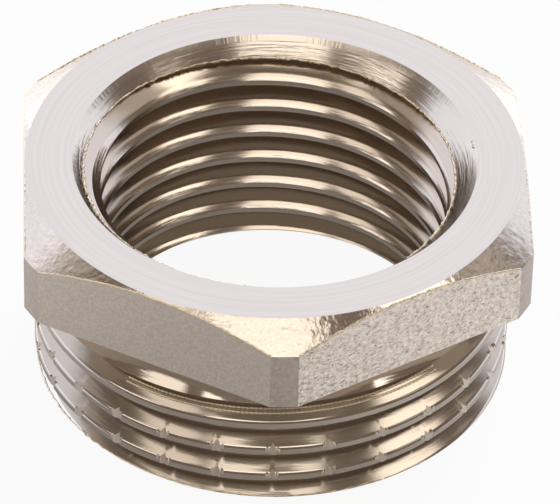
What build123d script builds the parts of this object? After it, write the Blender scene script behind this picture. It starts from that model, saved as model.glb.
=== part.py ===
from build123d import *
import os
import math

# Hex bushing, turned from one piece of brass: a hexagon on top, a male pipe thread below it and
# a female pipe thread right through. The axis is Z, and the origin is the centre of the end face
# of the male thread, on which the bushing stands. A corner of the hexagon points along -Y.
# Lengths are millimetres and angles are degrees.

# Hexagon: how much is turned off each corner, how far inside the flats the round top face ends,
# and how far inside the turned corners the chamfer of the underside ends
across_flats = 27.0
hex_height = 4.55
corner_cut = 0.41
face_inset = 0.1
crown_angle = 28.0
underside_inset = 0.48
underside_angle = 45.0

# Shank
shank_length = 8.55
end_chamfer = 0.3

# Both pipe threads have 14 turns to the inch
pitch = 25.4 / 14

# Male thread: diameter over the crests, depth, width of the crest land, and where the groove
# runs out under the head
male_diameter = 26.0
male_depth = 0.95
male_land = 0.45
runout_azimuth = -131.0
runout_clearance = 0.03

# Female thread: diameter at the root, depth, width of the crest land, and where the groove
# breaks the top face
female_diameter = 20.955
female_depth = 1.1
female_land = 0.30
female_start_azimuth = -17.6

# Mouth of the bore: how far it opens beyond the root of the thread, a narrow break of its edge,
# then a countersink down to the thread crests
mouth_margin = 0.42
mouth_break = 0.25
countersink_angle = 40.0
tail_chamfer = 0.45

# Grip notches, small axial nicks across the two lower crests of the male thread
notch_count = 27
notch_azimuth = -91.7
notch_width = 0.5
notch_depth = 0.28
notch_bottom = 0.9
notch_top = 4.4

# How far a cutter reaches past the surface that it cuts
overcut = 0.05

total_height = shank_length + hex_height
male_radius = male_diameter / 2
female_root = female_diameter / 2

# Groove of the male thread: a V between two crest lands, swept turn by turn from below the end
# face up to its run-out just under the head, over a whole number of turns
male_root = male_radius - male_depth
male_width = (pitch - male_land) * (male_depth + overcut) / male_depth
male_top = shank_length - male_width / 2 - runout_clearance
male_turns = math.ceil((male_top + male_width / 2) / pitch)
with BuildPart() as male_groove:
    with BuildLine() as male_path:
        for turn in range(male_turns):
            Helix(pitch, pitch, male_root, center=(0, 0, turn * pitch))
    with BuildSketch(Plane(origin=male_path.line @ 0, x_dir=(1, 0, 0), z_dir=male_path.line % 0)):
        with BuildLine():
            Polyline(
                (0, 0),
                (male_depth + overcut, -male_width / 2),
                (male_depth + overcut, male_width / 2),
                close=True,
            )
        make_face()
    sweep(path=male_path.line, is_frenet=True)

# Groove of the female thread, swept from below the end face to above the top face
female_width = (pitch - female_land) * (female_depth + overcut) / female_depth
female_turns_below = math.ceil((total_height + female_width / 2) / pitch)
with BuildPart() as female_groove:
    with BuildLine() as female_path:
        for turn in range(female_turns_below + 1):
            Helix(pitch, pitch, female_root, center=(0, 0, turn * pitch))
    with BuildSketch(Plane(origin=female_path.line @ 0, x_dir=(1, 0, 0), z_dir=female_path.line % 0)):
        with BuildLine():
            Polyline(
                (0, 0),
                (-female_depth - overcut, -female_width / 2),
                (-female_depth - overcut, female_width / 2),
                close=True,
            )
        make_face()
    sweep(path=female_path.line, is_frenet=True)

with BuildPart() as hex_bushing:
    # Hexagonal head
    with BuildSketch(Plane.XY.offset(shank_length)):
        RegularPolygon(across_flats / 2, 6, major_radius=False, rotation=30)
    extrude(amount=hex_height)

    # Turned envelope of the head: crown on top, cylinder over the corners, chamfered underside
    corner_radius = across_flats / 2 / math.cos(math.radians(30)) - corner_cut
    face_radius = across_flats / 2 - face_inset
    underside_radius = corner_radius - underside_inset
    crown_drop = (corner_radius - face_radius) * math.tan(math.radians(crown_angle))
    under_rise = underside_inset * math.tan(math.radians(underside_angle))
    with BuildSketch(Plane.XZ):
        with BuildLine():
            Polyline(
                (0, shank_length),
                (underside_radius, shank_length),
                (corner_radius, shank_length + under_rise),
                (corner_radius, total_height - crown_drop),
                (face_radius, total_height),
                (0, total_height),
                close=True,
            )
        make_face()
    revolve(axis=Axis.Z, mode=Mode.INTERSECT)

    # Shank, with the chamfer on its end
    with BuildSketch(Plane.XZ):
        with BuildLine():
            Polyline(
                (0, 0),
                (male_radius - end_chamfer, 0),
                (male_radius, end_chamfer),
                (male_radius, shank_length),
                (0, shank_length),
                close=True,
            )
        make_face()
    revolve(axis=Axis.Z)

    # Bore at the crests of the female thread, opened out at both ends
    bore_radius = female_root - female_depth
    mouth_radius = female_root + mouth_margin
    sink_radius = mouth_radius - mouth_break
    sink_depth = (sink_radius - bore_radius) / math.tan(math.radians(countersink_angle))
    with BuildSketch(Plane.XZ):
        with BuildLine():
            Polyline(
                (0, 0),
                (bore_radius + tail_chamfer, 0),
                (bore_radius, tail_chamfer),
                (bore_radius, total_height - mouth_break - sink_depth),
                (sink_radius, total_height - mouth_break),
                (mouth_radius, total_height),
                (0, total_height),
                close=True,
            )
        make_face()
    revolve(axis=Axis.Z, mode=Mode.SUBTRACT)

    # The two thread grooves
    with Locations(Location((0, 0, male_top - male_turns * pitch), (0, 0, runout_azimuth))):
        add(male_groove.part, mode=Mode.SUBTRACT)
    female_bottom = total_height - female_turns_below * pitch
    with Locations(Location((0, 0, female_bottom), (0, 0, female_start_azimuth))):
        add(female_groove.part, mode=Mode.SUBTRACT)

    # Grip notches: a V nick along the axis, repeated round the shank
    nick_half_width = notch_width / 2 * (notch_depth + overcut) / notch_depth
    with BuildSketch(Plane.XY.offset(notch_bottom)):
        with PolarLocations(male_radius, notch_count, start_angle=notch_azimuth):
            Polygon(
                (-notch_depth, 0),
                (overcut, -nick_half_width),
                (overcut, nick_half_width),
                align=None,
            )
    extrude(amount=notch_top - notch_bottom, mode=Mode.SUBTRACT)

hex_bushing.part.label = "hex_bushing"
os.makedirs("parts", exist_ok=True)
export_step(hex_bushing.part, "parts/hex_bushing.step")
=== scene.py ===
import bpy
import math
import random
from mathutils import Matrix, Vector


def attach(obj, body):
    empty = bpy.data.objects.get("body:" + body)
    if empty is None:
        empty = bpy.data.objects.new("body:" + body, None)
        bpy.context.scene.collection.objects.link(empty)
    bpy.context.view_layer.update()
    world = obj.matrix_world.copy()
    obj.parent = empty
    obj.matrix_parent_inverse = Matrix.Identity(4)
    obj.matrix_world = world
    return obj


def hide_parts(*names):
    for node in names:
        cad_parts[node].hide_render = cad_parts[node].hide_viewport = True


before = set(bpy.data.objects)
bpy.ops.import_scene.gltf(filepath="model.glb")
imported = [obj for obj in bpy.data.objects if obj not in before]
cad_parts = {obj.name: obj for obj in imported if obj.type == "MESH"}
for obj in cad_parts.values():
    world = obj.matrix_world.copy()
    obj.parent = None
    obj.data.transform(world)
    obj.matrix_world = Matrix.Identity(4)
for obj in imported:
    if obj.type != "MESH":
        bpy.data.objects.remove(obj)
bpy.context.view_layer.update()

# Male thread
# The lower half of the bushing is a male pipe thread, cut on the lathe in one nickel-plated brass
# turning. Its groove runs out at a narrow neck under the head, and its crests are slightly rounded.
# Sizes are in mm, and those named CREST or RADIUS are radii from the axis.
MM = 0.001
STEPS_AROUND = 432
PITCH = 25.4 / 14
SHANK_TOP = 8.55
TOTAL_HEIGHT = 13.1
MALE_CREST = 13.0
MALE_DEPTH = 0.95
MALE_GROOVE_Z = 6.195  # the last turn's groove where it faces the camera
MALE_RUNOUT = 319.0  # degrees from there to the end of the groove
MALE_FADE = 8  # degrees


def deselect_all():
    bpy.ops.object.select_all(action="DESELECT")


def active_only(piece):
    deselect_all()
    piece.select_set(True)
    bpy.context.view_layer.objects.active = piece


def outline(name, points, closed=True):
    """An edge loop in the XZ plane, ready to be turned or screwed round Z."""
    deselect_all()
    bpy.ops.mesh.primitive_circle_add(vertices=len(points), radius=MM)
    piece = bpy.context.object
    piece.name = name
    for vertex, (radius, height) in zip(piece.data.vertices, points):
        vertex.co = (radius * MM, 0, height * MM)
    if not closed:
        last = len(points) - 1
        bpy.ops.object.mode_set(mode="EDIT")
        bpy.ops.mesh.select_all(action="DESELECT")
        bpy.ops.object.mode_set(mode="OBJECT")
        for edge in piece.data.edges:
            edge.select = set(edge.vertices) == {0, last}
        bpy.ops.object.mode_set(mode="EDIT")
        bpy.ops.mesh.select_mode(type="EDGE")
        bpy.ops.mesh.delete(type="EDGE")
        bpy.ops.mesh.select_mode(type="VERT")
        bpy.ops.object.mode_set(mode="OBJECT")
    return piece


def turned(name, points):
    """A closed outline turned on the lathe, all the way round Z."""
    piece = outline(name, points)
    bpy.ops.object.mode_set(mode="EDIT")
    bpy.ops.mesh.select_all(action="SELECT")
    bpy.ops.mesh.spin(steps=STEPS_AROUND, angle=math.tau, center=(0, 0, 0), axis=(0, 0, 1))
    bpy.ops.mesh.select_all(action="SELECT")
    bpy.ops.mesh.remove_doubles(threshold=0.0005 * MM)
    bpy.ops.mesh.normals_make_consistent(inside=False)
    bpy.ops.object.mode_set(mode="OBJECT")
    return piece


def arc(center, radius, start, end, count):
    """Points on an arc, from start to end in degrees."""
    turns = [math.radians(start + (end - start) * n / (count - 1)) for n in range(count)]
    return [(center[0] + radius * math.cos(t), center[1] + radius * math.sin(t)) for t in turns]


def groove_outline(crest, depth, land, half, crest_round, crest_from, side):
    """One pitch of thread from mid-crest to mid-crest, with its root and crests rounded."""
    slope = math.tan(math.radians(half))
    tangent = math.tan(math.radians((90 - half) / 2))
    lean = math.radians(crest_from)
    middle = (-crest_round * math.cos(lean), -PITCH / 2 + land / 2 - crest_round * math.sin(lean))
    low_crest = arc(middle, crest_round, crest_from, 90 - half, 6)
    inner, edge = low_crest[-1]
    root_round = -(edge + (depth + inner) * slope) / tangent
    root = arc((-depth + root_round, 0), root_round, 270 - half, 90 + half, 5)
    high_crest = [(x, -z) for x, z in reversed(low_crest)]
    points = [(0, -PITCH / 2)] + low_crest + root + high_crest + [(0, PITCH / 2)]
    return [(crest + side * x, z) for x, z in points]


def threaded_rod(name, section, steps, first, turns, low, high, shape=None):
    """One pitch of thread screwed round Z, with its ends cut square and closed."""
    piece = outline(name, [(r, z + first) for r, z in section], closed=False)
    screw = piece.modifiers.new("Screw", "SCREW")
    screw.angle = math.tau
    screw.screw_offset = PITCH * MM
    screw.iterations = turns
    screw.steps = screw.render_steps = steps
    screw.use_merge_vertices = True
    screw.merge_threshold = 0.002 * MM
    bpy.ops.object.modifier_apply(modifier="Screw")
    if shape:
        shape(piece)
    bpy.ops.object.mode_set(mode="EDIT")
    bpy.ops.mesh.select_all(action="SELECT")
    bpy.ops.mesh.remove_doubles(threshold=0.002 * MM)
    for height, outside in ((low, False), (high, True)):
        bpy.ops.mesh.select_all(action="SELECT")
        bpy.ops.mesh.bisect(
            plane_co=(0, 0, height * MM),
            plane_no=(0, 0, 1),
            use_fill=True,
            clear_inner=not outside,
            clear_outer=outside,
            threshold=0.00001 * MM,
        )
    bpy.ops.mesh.select_all(action="SELECT")
    bpy.ops.mesh.normals_make_consistent(inside=False)
    bpy.ops.object.mode_set(mode="OBJECT")
    return piece


def run_out(piece):
    """The groove fades into the plain collar just under the head."""
    for vertex in piece.data.vertices:
        x, y, z = (c / MM for c in vertex.co)
        around = (math.degrees(math.atan2(y, x)) + 90) / 360
        turn = round((z - MALE_GROOVE_Z) / PITCH - around)
        along = (around + turn) * 360
        radius = math.hypot(x, y)
        if along > MALE_RUNOUT - MALE_FADE:
            left = max(0.0, min(1.0, (MALE_RUNOUT - along) / MALE_FADE))
            wanted = MALE_CREST - (MALE_CREST - radius) * left
            vertex.co.x *= wanted / radius
            vertex.co.y *= wanted / radius


bushing = threaded_rod(
    "bushing",
    groove_outline(
        MALE_CREST, MALE_DEPTH, land=0.3, half=30, crest_round=0.3, crest_from=20, side=1
    ),
    steps=STEPS_AROUND,
    first=MALE_GROOVE_Z - 5 * PITCH + 0.25 * PITCH,
    turns=8,
    low=-0.05,
    high=SHANK_TOP + 0.2,
    shape=run_out,
)


def combine(piece, tool, operation):
    """One solid cut by, joined to or trimmed to another, which is then gone."""
    change = piece.modifiers.new("Boolean", "BOOLEAN")
    change.object = tool
    change.operation = operation
    change.solver = "MANIFOLD"
    active_only(piece)
    bpy.ops.object.modifier_apply(modifier="Boolean")
    bpy.data.objects.remove(tool)


END_CHAMFER = 0.3
NECK_RADIUS = 12.3
NECK_Z = 7.3
NECK_MOUTH_RADIUS = 13.4
NECK_MOUTH_Z = 6.377
end = turned(
    "end_trim",
    [
        (0, 0),
        (MALE_CREST - END_CHAMFER, 0),
        (MALE_CREST + 0.2, END_CHAMFER + 0.2),
        (MALE_CREST + 0.2, SHANK_TOP + 1),
        (0, SHANK_TOP + 1),
    ],
)
combine(bushing, end, "INTERSECT")
neck = turned(
    "neck",
    [
        (NECK_RADIUS, NECK_Z),
        (NECK_MOUTH_RADIUS, NECK_MOUTH_Z),
        (NECK_MOUTH_RADIUS, SHANK_TOP + 0.05),
        (NECK_RADIUS, SHANK_TOP + 0.05),
    ],
)
combine(bushing, neck, "DIFFERENCE")

# Hexagon head
# The head is the bar's own hexagon, 27 mm across the flats. Its top is faced and its corners are
# turned to a crown, which leaves a brass burr along the upper edge of each flat.
ACROSS_FLATS = 27.0
FACE_RADIUS = 13.4
CORNER_RADIUS = 15.18
CROWN_SLOPE = math.tan(math.radians(32))
deselect_all()
bpy.ops.mesh.primitive_cylinder_add(
    vertices=6,
    radius=ACROSS_FLATS / 2 / math.cos(math.radians(30)) * MM,
    depth=(TOTAL_HEIGHT - SHANK_TOP) * MM,
    location=(0, 0, (TOTAL_HEIGHT + SHANK_TOP) / 2 * MM),
)
head = bpy.context.object
head.name = "head"
bpy.ops.object.transform_apply(location=True)
crown = turned(
    "crown_trim",
    [
        (0, SHANK_TOP - 1),
        (CORNER_RADIUS, SHANK_TOP - 1),
        (CORNER_RADIUS, TOTAL_HEIGHT - (CORNER_RADIUS - FACE_RADIUS) * CROWN_SLOPE),
        (FACE_RADIUS, TOTAL_HEIGHT),
        (FACE_RADIUS - 0.5 / CROWN_SLOPE, TOTAL_HEIGHT + 0.5),
        (0, TOTAL_HEIGHT + 0.5),
    ],
)
combine(head, crown, "INTERSECT")
combine(bushing, head, "UNION")

# Female thread
# A tapped hole runs right through the brass. Its mouth is countersunk, and its edges are lightly
# broken at both ends.
FEMALE_CREST = 9.3775
FEMALE_DEPTH = 1.1
FEMALE_GROOVE_Z = 7.7465  # the middle turn's groove where it faces +X
tap = threaded_rod(
    "tap",
    groove_outline(
        FEMALE_CREST, FEMALE_DEPTH, land=0.28, half=26.5, crest_round=1.15, crest_from=38, side=-1
    ),
    steps=360,
    first=FEMALE_GROOVE_Z - 6 * PITCH,
    turns=11,
    low=-0.5,
    high=TOTAL_HEIGHT + 0.5,
)
combine(bushing, tap, "DIFFERENCE")
MOUTH_RADIUS = 10.9
MOUTH_BREAK = 0.25
SINK_RADIUS = MOUTH_RADIUS - MOUTH_BREAK
SINK_TOP = TOTAL_HEIGHT - MOUTH_BREAK
SINK_SLOPE = math.tan(math.radians(40))
TAIL_BREAK = 0.45
INSIDE = 9.2  # a radius just inside the crests of the thread
sink = turned(
    "countersink",
    [
        (0, TOTAL_HEIGHT + 0.3),
        (MOUTH_RADIUS + 0.3, TOTAL_HEIGHT + 0.3),
        (SINK_RADIUS, SINK_TOP),
        (INSIDE, SINK_TOP - (SINK_RADIUS - INSIDE) / SINK_SLOPE),
        (0, 11),
    ],
)
combine(bushing, sink, "DIFFERENCE")
tail_radius = FEMALE_CREST + TAIL_BREAK
tail = turned(
    "tail_break",
    [(0, 1.2), (INSIDE, tail_radius - INSIDE), (tail_radius + 0.3, -0.3), (0, -0.3)],
)
combine(bushing, tail, "DIFFERENCE")

# Grip notches
# Small nicks are pressed across the two lower crests of the male thread, so that hemp or tape
# holds. Each one has pushed a little metal up at its sides.
NOTCHES = 27
NOTCH_AZIMUTH = -91.7
NICK_RADIUS = 0.3
NICK_LENGTH = 3.5
NICK_Z = 2.65
LIP_RADIUS = 0.085
LIP_SEAT = 12.95


def on_round(radius, azimuth, height):
    """The place at that radius and height, in the direction azimuth in degrees from +X."""
    turn = math.radians(azimuth)
    return (radius * math.cos(turn), radius * math.sin(turn), height)


def join(pieces):
    """Several pieces made into one."""
    deselect_all()
    for piece in pieces:
        piece.select_set(True)
    bpy.context.view_layer.objects.active = pieces[0]
    bpy.ops.object.join()
    return bpy.context.object


scatter = random.Random(4)
nicks = []
for n in range(NOTCHES):
    turn = math.radians(NOTCH_AZIMUTH + 360 / NOTCHES * n)
    width = scatter.uniform(1.2, 1.6)
    deselect_all()
    bpy.ops.mesh.primitive_cylinder_add(
        vertices=3,
        radius=NICK_RADIUS * MM,
        depth=NICK_LENGTH * MM,
        location=((MALE_CREST + 0.02) * MM, 0, NICK_Z * MM),
        rotation=(0, 0, math.radians(90)),
        scale=(width, 1, 1),
    )
    nick = bpy.context.object
    bpy.ops.object.transform_apply()
    bpy.ops.object.mode_set(mode="EDIT")
    bpy.ops.mesh.select_all(action="SELECT")
    bpy.ops.transform.rotate(value=-turn, orient_axis="Z", center_override=(0, 0, 0))
    bpy.ops.object.mode_set(mode="OBJECT")
    nicks.append(nick)
nicks = join(nicks)
lips = []
for n in range(NOTCHES):
    for crest in (1.5, 2.5):
        for side in (-1, 1):
            azimuth = NOTCH_AZIMUTH + 360 / NOTCHES * n + side * scatter.uniform(1.1, 1.5)
            turn = math.radians(azimuth)
            share = (azimuth + 90) / 360
            height = MALE_GROOVE_Z + (share - round(share) - crest) * PITCH
            height += scatter.uniform(0.05, 0.2)
            tilt = (scatter.uniform(-0.2, 0.2), scatter.uniform(-0.2, 0.2), turn)
            stretch = [scatter.uniform(*span) for span in ((0.8, 1.5), (0.8, 1.3), (2.2, 3.4))]
            deselect_all()
            bpy.ops.mesh.primitive_ico_sphere_add(
                subdivisions=2,
                radius=LIP_RADIUS * MM,
                location=[c * MM for c in on_round(LIP_SEAT, azimuth, height)],
                rotation=tilt,
                scale=stretch,
            )
            lips.append(bpy.context.object)
lips = join(lips)
bpy.ops.object.transform_apply()
combine(bushing, lips, "UNION")
combine(bushing, nicks, "DIFFERENCE")
active_only(bushing)
bpy.ops.object.shade_smooth_by_angle(angle=math.radians(20))

# Nickel finish
# The whole turning is nickel plated after machining. The top is faced, the flats keep the grain of
# the drawn bar and the countersink shows chatter. Painted shade makes the grooves darker and
# warmer, the crests and corner strips darker and the underside of the head nearly black, and
# painted light makes every other flat much lighter.


def metal(name, color, roughness, layers, mottle=None):
    """Plated metal with layers of bumps, and a mottle that varies its color.

    A layer has a kind of noise, its scale per mm and a depth in mm. A mottle has a share instead.
    Grain is the same all round, and a turned noise has scales around, outward and along the axis.
    """
    material = bpy.data.materials.new(name)
    material.use_nodes = True
    nodes, links = material.node_tree.nodes, material.node_tree.links
    shader = nodes["Principled BSDF"]
    shader.inputs["Base Color"].default_value = color + (1,)
    shader.inputs["Metallic"].default_value = 1
    shader.inputs["Roughness"].default_value = roughness
    place = nodes.new("ShaderNodeTexCoord")
    split = nodes.new("ShaderNodeSeparateXYZ")
    links.new(place.outputs["Object"], split.inputs[0])
    level = nodes.new("ShaderNodeCombineXYZ")
    links.new(split.outputs["X"], level.inputs["X"])
    links.new(split.outputs["Y"], level.inputs["Y"])
    radius = nodes.new("ShaderNodeVectorMath")
    radius.operation = "LENGTH"
    links.new(level.outputs[0], radius.inputs[0])
    around = nodes.new("ShaderNodeVectorMath")
    around.operation = "NORMALIZE"
    links.new(level.outputs[0], around.inputs[0])

    def noise(kind, scale):
        grain = nodes.new("ShaderNodeTexNoise")
        grain.inputs["Detail"].default_value = 3
        if kind == "grain":
            grain.inputs["Scale"].default_value = scale[0] / MM
            links.new(place.outputs["Object"], grain.inputs["Vector"])
            return grain.outputs["Fac"]
        turn = nodes.new("ShaderNodeVectorMath")
        turn.operation = "SCALE"
        turn.inputs["Scale"].default_value = scale[0]
        links.new(around.outputs[0], turn.inputs[0])
        out = nodes.new("ShaderNodeMath")
        out.operation = "MULTIPLY"
        out.inputs[1].default_value = scale[1] / MM
        links.new(radius.outputs["Value"], out.inputs[0])
        up = nodes.new("ShaderNodeMath")
        up.operation = "MULTIPLY_ADD"
        up.inputs[1].default_value = scale[2] / MM
        links.new(split.outputs["Z"], up.inputs[0])
        links.new(out.outputs[0], up.inputs[2])
        both = nodes.new("ShaderNodeCombineXYZ")
        links.new(up.outputs[0], both.inputs["Z"])
        total = nodes.new("ShaderNodeVectorMath")
        total.operation = "ADD"
        links.new(turn.outputs[0], total.inputs[0])
        links.new(both.outputs[0], total.inputs[1])
        grain.inputs["Scale"].default_value = 1
        links.new(total.outputs[0], grain.inputs["Vector"])
        return grain.outputs["Fac"]

    last = None
    for kind, scale, depth in layers:
        bump = nodes.new("ShaderNodeBump")
        bump.inputs["Distance"].default_value = depth * MM
        links.new(noise(kind, scale), bump.inputs["Height"])
        if last:
            links.new(last.outputs["Normal"], bump.inputs["Normal"])
        last = bump
    if last:
        links.new(last.outputs["Normal"], shader.inputs["Normal"])
    if mottle:
        kind, scale, share = mottle
        vary = nodes.new("ShaderNodeMapRange")
        vary.inputs["From Min"].default_value = 0.3
        vary.inputs["From Max"].default_value = 0.7
        vary.inputs["To Min"].default_value = 1 - share
        vary.inputs["To Max"].default_value = 1 + share
        links.new(noise(kind, scale), vary.inputs["Value"])
        tint = nodes.new("ShaderNodeVectorMath")
        tint.operation = "SCALE"
        tint.inputs[0].default_value = color
        links.new(vary.outputs[0], tint.inputs["Scale"])
        links.new(tint.outputs[0], shader.inputs["Base Color"])
    return material


NICKEL = (0.66, 0.59, 0.515)
# Nickel painted darker, as shade on the thread crests and the corner strips.
SHADED_NICKEL = (0.49, 0.43, 0.375)
# Nickel painted darker and warmer, as the shade in the grooves.
GROOVE_SHADE = (0.5, 0.44, 0.37)
finishes = [
    metal(
        "faced_top",
        NICKEL,
        0.13,
        [("turned", (1.5, 12, 0), 0.005)],
        ("turned", (1.2, 9, 0), 0.035),
    ),
    metal(
        "flat_left",
        NICKEL,
        0.2,
        [("grain", (8,), 0.06), ("grain", (1.2,), 0.03)],
        ("grain", (7,), 0.12),
    ),
    # Every other flat is painted much lighter, as the light falling on it.
    metal("flat_painted_light", (0.86, 0.775, 0.69), 0.16, [("grain", (2.8,), 0.27)], ("grain", (4,), 0.2)),
    metal(
        "crown",
        NICKEL,
        0.14,
        [("turned", (40, 4, 4), 0.006), ("grain", (2,), 0.02)],
        ("grain", (5,), 0.06),
    ),
    metal(
        "countersink",
        NICKEL,
        0.18,
        [("turned", (4, 0, 9), 0.02), ("turned", (24, 0, 1.5), 0.004)],
    ),
    metal("thread_edge", NICKEL, 0.14, [("turned", (12, 6, 6), 0.006)]),
    metal("thread_groove", GROOVE_SHADE, 0.15, [("turned", (5, 0, 9), 0.006)]),
    # The underside of the head is painted nearly black, as the shade under it.
    metal("shaded_underside", (0.03, 0.026, 0.02), 0.3, [("turned", (3, 8, 8), 0.01)]),
    # The corner strips and the thread crests are painted darker, as shade.
    metal("corner", SHADED_NICKEL, 0.22, [("grain", (4,), 0.03)], ("grain", (4,), 0.12)),
    metal("thread_crest", SHADED_NICKEL, 0.16, [("turned", (12, 6, 6), 0.006)]),
    # The bore's grooves are painted darker and warmer, as shade.
    metal("bore_groove", (0.58, 0.5, 0.415), 0.16, [("turned", (5, 0, 9), 0.005)]),
    metal("neck", NICKEL, 0.08, [("turned", (8, 0, 9), 0.004)]),
    metal("nick", (0.85, 0.78, 0.7), 0.4, []),
    metal("mouth", NICKEL, 0.22, [("turned", (50, 0, 0), 0.02)]),
]


def finish_of(face):
    """The name of the finish on a face of the turning, by where it lies and how it slopes."""
    x, y, z = (c / MM for c in face.center)
    radius = math.hypot(x, y)
    up = face.normal.z
    outward = (face.normal.x * x + face.normal.y * y) / radius
    if z > TOTAL_HEIGHT - 0.001:
        return "faced_top"
    if radius > CORNER_RADIUS - 0.08 and abs(up) < 0.1:
        return "corner"
    if radius > MALE_CREST + 0.05 and z > SHANK_TOP + 0.01 and abs(up) < 0.1:
        facing = math.degrees(math.atan2(face.normal.y, face.normal.x)) % 360
        return "flat_painted_light" if round(facing / 60) % 6 in (1, 3, 5) else "flat_left"
    if radius > MALE_CREST + 0.05 and up > 0.5 and z > SHANK_TOP + 0.5:
        return "crown"
    if radius > 12 and up < -0.5 and abs(z - SHANK_TOP) < 0.01:
        return "shaded_underside"
    if outward < 0 and up > 0.5 and z > SINK_TOP:
        return "mouth"
    if outward < 0 and 0.6 < up < 0.72 and radius > FEMALE_CREST + 0.1:
        return "countersink"
    if outward > 0 and 0.7 < up < 0.82 and radius > NECK_RADIUS - 0.1 and z > 6.5:
        return "neck"
    if abs(up) > 0.75:
        return "bore_groove" if radius < 11 else "thread_groove"
    if radius > MALE_CREST - 0.5 and z < 4.6 and abs(up) < 0.3 and outward < 0.93:
        return "nick"
    return "thread_crest" if abs(up) < 0.15 else "thread_edge"


bushing.data.materials.clear()
for finish in finishes:
    bushing.data.materials.append(finish)
slots = {finish.name: n for n, finish in enumerate(finishes)}
for face in bushing.data.polygons:
    face.material_index = slots[finish_of(face)]
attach(bushing, "root")
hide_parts("hex_bushing")

# Burrs
# Turning the crown and the countersink has rolled thin burrs of brass along the upper edges of the
# flats, the lower edge of the countersink and the end of the thread. They are part of the turning.
BURR_THICKNESS = 0.085
scatter = random.Random(7)
burrs = []


def burr(path, thickness, stray, beaded=False):
    """A thin rough line of metal along points in mm, with closed ends."""
    line = bpy.data.curves.new("burr", "CURVE")
    line.dimensions = "3D"
    line.bevel_depth = thickness * MM
    line.bevel_resolution = 1
    line.use_fill_caps = True
    spline = line.splines.new("POLY")
    spline.points.add(len(path) - 1)
    wide = ACROSS_FLATS / 2 - thickness
    for n, (point, place) in enumerate(zip(spline.points, path)):
        x, y, z = (c + scatter.uniform(-stray, stray) for c in place)
        x = max(-wide, min(wide, x))
        y = max(thickness - CORNER_RADIUS, min(CORNER_RADIUS - thickness, y))
        z = max(thickness, min(TOTAL_HEIGHT - thickness, z))
        point.co = (x * MM, y * MM, z * MM, 1)
        point.radius = (1, 0.4)[n % 2] if beaded else scatter.uniform(0.4, 1)
    piece = bpy.data.objects.new("burr", line)
    bpy.context.scene.collection.objects.link(piece)
    active_only(piece)
    bpy.ops.object.convert(target="MESH")
    burrs.append(bpy.context.object)


# The upper edge of each flat, from corner to corner
HALF_FLAT = 27.2  # degrees
for flat in range(6):
    path = []
    for n in range(121):
        turn = -HALF_FLAT + 2 * HALF_FLAT * n / 120
        radius = ACROSS_FLATS / 2 / math.cos(math.radians(turn))
        height = TOTAL_HEIGHT - (radius - FACE_RADIUS) * CROWN_SLOPE
        path.append(on_round(radius - 0.02, 60 * flat + turn, height))
    burr(path, BURR_THICKNESS, stray=0.02)

# The edge where the countersink meets the upper side of the thread groove. For each mm of height
# the groove's side comes in by FLANK_SLOPE and the countersink opens by 0.839.
FLANK_SLOPE = 2.006
path = []
for n in range(540):
    azimuth = -45 + 313 * n / 539
    groove = FEMALE_GROOVE_Z + (azimuth / 360 + 2) * PITCH
    height = (10.6085 + FLANK_SLOPE * (groove + 0.088)) / (FLANK_SLOPE + 0.839)
    path.append(on_round(SINK_RADIUS - (SINK_TOP - height) * SINK_SLOPE, azimuth, height))
    if scatter.random() < 0.06:
        if len(path) > 2:
            burr(path, BURR_THICKNESS, stray=0.04)
        path = []
if len(path) > 2:
    burr(path, BURR_THICKNESS, stray=0.04)

# A spot of bare brass at the mouth, the rim of the end face, and two tool marks below the head
spot = [on_round(10.8, 4.5, 12.98), on_round(10.84, 6, 13.0), on_round(10.8, 7.5, 12.97)]
burr(spot, 0.09, stray=0.01)
burr([on_round(12.88, n * 0.72, 0.25) for n in range(501)], 0.06, stray=0.03)
for radius, height in ((12.55, 5.78), (12.33, 5.9)):
    path = []
    for n in range(150):
        turn = n * 0.55
        path.append(on_round(radius, -130 + turn, height + (turn - 29) / 360 * PITCH))
    burr(path, BURR_THICKNESS, stray=0.006, beaded=True)
burr_lines = join(burrs)
burr_lines.name = "burrs"
bpy.ops.object.mode_set(mode="EDIT")
bpy.ops.mesh.select_all(action="SELECT")
bpy.ops.mesh.remove_doubles(threshold=0.0002 * MM)
bpy.ops.mesh.normals_make_consistent(inside=False)
bpy.ops.object.mode_set(mode="OBJECT")
bpy.ops.object.shade_smooth()
brass = metal("burr_brass", (0.9, 0.76, 0.55), 0.25, [])
burr_lines.data.materials.clear()
burr_lines.data.materials.append(brass)
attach(burr_lines, "root")

# Studio
# A plain white table in front of a pale backdrop. Soft boxes hang over the camera, at both sides
# and far behind, and small white cards stand beside and behind the bushing. The room is dim.
deselect_all()
bpy.ops.mesh.primitive_plane_add(size=4)
floor = bpy.context.object
floor.name = "table"
white = bpy.data.materials.new("white_table")
white.use_nodes = True
nodes, links = white.node_tree.nodes, white.node_tree.links
shader = nodes["Principled BSDF"]
shader.inputs["Base Color"].default_value = (0.5, 0.5, 0.5, 1)
shader.inputs["Roughness"].default_value = 0.8
shader.inputs["Specular IOR Level"].default_value = 0.1
glow = nodes.new("ShaderNodeEmission")
glow.inputs["Color"].default_value = (1, 1, 1, 1)
glow.inputs["Strength"].default_value = 1
light_path = nodes.new("ShaderNodeLightPath")
mirror_ray = nodes.new("ShaderNodeMath")
mirror_ray.operation = "MAXIMUM"
links.new(light_path.outputs["Is Glossy Ray"], mirror_ray.inputs[0])
links.new(light_path.outputs["Is Transmission Ray"], mirror_ray.inputs[1])
mirror_share = nodes.new("ShaderNodeMath")
mirror_share.operation = "MULTIPLY"
mirror_share.inputs[1].default_value = 0.22
links.new(mirror_ray.outputs[0], mirror_share.inputs[0])
glow_share = nodes.new("ShaderNodeMath")
glow_share.operation = "MULTIPLY_ADD"
glow_share.inputs[1].default_value = 0.93
links.new(light_path.outputs["Is Camera Ray"], glow_share.inputs[0])
links.new(mirror_share.outputs[0], glow_share.inputs[2])
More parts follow.
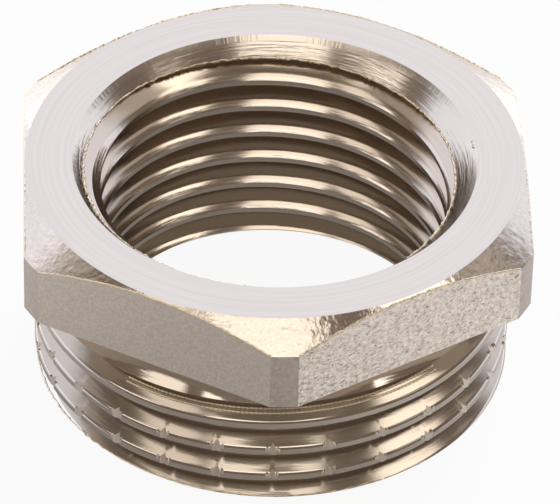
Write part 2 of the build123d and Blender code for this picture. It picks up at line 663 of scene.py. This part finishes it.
blend = nodes.new("ShaderNodeMixShader")
links.new(glow_share.outputs[0], blend.inputs["Fac"])
links.new(shader.outputs[0], blend.inputs[1])
links.new(glow.outputs[0], blend.inputs[2])
links.new(blend.outputs[0], nodes["Material Output"].inputs["Surface"])
floor.data.materials.append(white)

scene = bpy.context.scene
scene.view_settings.view_transform = "Standard"
world = bpy.data.worlds.new("studio")
world.use_nodes = True
scene.world = world
nodes, links = world.node_tree.nodes, world.node_tree.links

# The backdrop stands behind the table. It narrows upwards and fades out high above.
TO_BACKDROP = (-0.09, 0.996, 0)
ROOM_TONE = (0.2, 0.16, 0.13, 1)
BACKDROP_TONE = (1.16, 1.21, 1.4, 1)
direction = nodes.new("ShaderNodeTexCoord")
split = nodes.new("ShaderNodeSeparateXYZ")
links.new(direction.outputs["Generated"], split.inputs[0])
flattened = nodes.new("ShaderNodeVectorMath")
flattened.operation = "MULTIPLY"
flattened.inputs[1].default_value = (1, 1, 0)
links.new(direction.outputs["Generated"], flattened.inputs[0])
heading = nodes.new("ShaderNodeVectorMath")
heading.operation = "NORMALIZE"
links.new(flattened.outputs[0], heading.inputs[0])
toward = nodes.new("ShaderNodeVectorMath")
toward.operation = "DOT_PRODUCT"
toward.inputs[1].default_value = TO_BACKDROP
links.new(heading.outputs[0], toward.inputs[0])
narrowing = nodes.new("ShaderNodeMath")
narrowing.operation = "SUBTRACT"
links.new(toward.outputs["Value"], narrowing.inputs[0])
links.new(split.outputs["Z"], narrowing.inputs[1])
behind = nodes.new("ShaderNodeMapRange")
behind.interpolation_type = "SMOOTHSTEP"
behind.inputs["From Min"].default_value = -0.28
behind.inputs["From Max"].default_value = 0.02
links.new(narrowing.outputs[0], behind.inputs["Value"])
below = nodes.new("ShaderNodeMapRange")
below.interpolation_type = "SMOOTHSTEP"
below.inputs["From Min"].default_value = 0.85
below.inputs["From Max"].default_value = 0.72
links.new(split.outputs["Z"], below.inputs["Value"])
backdrop = nodes.new("ShaderNodeMath")
backdrop.operation = "MULTIPLY"
links.new(behind.outputs[0], backdrop.inputs[0])
links.new(below.outputs[0], backdrop.inputs[1])
tone = nodes.new("ShaderNodeMix")
tone.data_type = "RGBA"
tone.inputs["A"].default_value = ROOM_TONE
tone.inputs["B"].default_value = BACKDROP_TONE
links.new(backdrop.outputs[0], tone.inputs["Factor"])
links.new(tone.outputs["Result"], nodes["Background"].inputs["Color"])


def soft_box(name, place, facing, upward, size, level, color, mirrored=True):
    """A rectangular soft box. Its level is the brightness that a mirror would show.

    One that isn't mirrored gives light and shadow, but no highlight on the metal.
    """
    light = bpy.data.lights.new(name, "AREA")
    light.shape = "RECTANGLE"
    light.size, light.size_y = size
    light.color = color
    light.energy = level * math.pi * size[0] * size[1]
    lamp = bpy.data.objects.new(name, light)
    lamp.location = place
    back = -Vector(facing).normalized()
    across = Vector(upward).cross(back).normalized()
    lamp.rotation_euler = Matrix((across, back.cross(across), back)).transposed().to_euler()
    lamp.visible_glossy = mirrored
    scene.collection.objects.link(lamp)


CREAM = (1, 0.94, 0.87)
WARM_WHITE = (1, 0.95, 0.9)
COOL_WHITE = (0.88, 0.93, 1)
soft_box(
    "box_over",
    place=(-0.04, -0.22, 0.5005),
    facing=(0, 0.903, -0.43),
    upward=(0, 0.43, 0.903),
    size=(0.3255, 0.442),
    level=1.6,
    color=CREAM,
)
soft_box(
    "box_left",
    place=(-0.25, -0.084, 0.55),
    facing=(1, 0, 0),
    upward=(0, 0.22, 0.9755),
    size=(0.195, 0.512),
    level=1.2,
    color=CREAM,
)
soft_box(
    "card_left",
    place=(-0.25, -0.1, 0.178),
    facing=(1, 0.35, 0),
    upward=(0, 0, 1),
    size=(0.13, 0.08),
    level=1.7,
    color=CREAM,
)
soft_box(
    "box_right",
    place=(0.3, -0.032, 0.523),
    facing=(-1, 0, 0),
    upward=(0, 0.4, 0.9165),
    size=(0.25, 0.356),
    level=2.1,
    color=CREAM,
)
soft_box(
    "card_right",
    place=(0.3, -0.146, 0.21),
    facing=(-1, 0.35, 0),
    upward=(0, 0, 1),
    size=(0.11, 0.08),
    level=0.7,
    color=CREAM,
)
soft_box(
    "glow_left",
    place=(-0.35, 0.175, 0.53),
    facing=(1, -0.3, -0.8),
    upward=(0, 0, 1),
    size=(0.2, 0.36),
    level=0.32,
    color=WARM_WHITE,
)
soft_box(
    "glow_right",
    place=(0.35, 0.175, 0.53),
    facing=(-1, -0.3, -0.8),
    upward=(0, 0, 1),
    size=(0.2, 0.36),
    level=0.4,
    color=WARM_WHITE,
)
soft_box(
    "card_back",
    place=(0, 0.075, 0.0115),
    facing=(0, -1, 0),
    upward=(0, 0, 1),
    size=(0.24, 0.021),
    level=0.62,
    color=COOL_WHITE,
)
soft_box(
    "fill_back",
    place=(0.35, 0.68, 0.33),
    facing=(-0.35, -0.68, -0.33),
    upward=(0, 0, 1),
    size=(0.7, 0.3),
    level=22,
    color=(1, 1, 1),
    mirrored=False,
)

camera = bpy.data.objects.new("camera", bpy.data.cameras.new("camera"))
camera.location = (-0.0115247, -0.2208638, 0.1891039)
camera.rotation_euler = [math.radians(a) for a in (50.44524, -1.19193, -2.10792)]
camera.data.lens = 338.06
camera.data.sensor_width = 36
camera.data.clip_start = 0.01
scene.collection.objects.link(camera)
scene.camera = camera
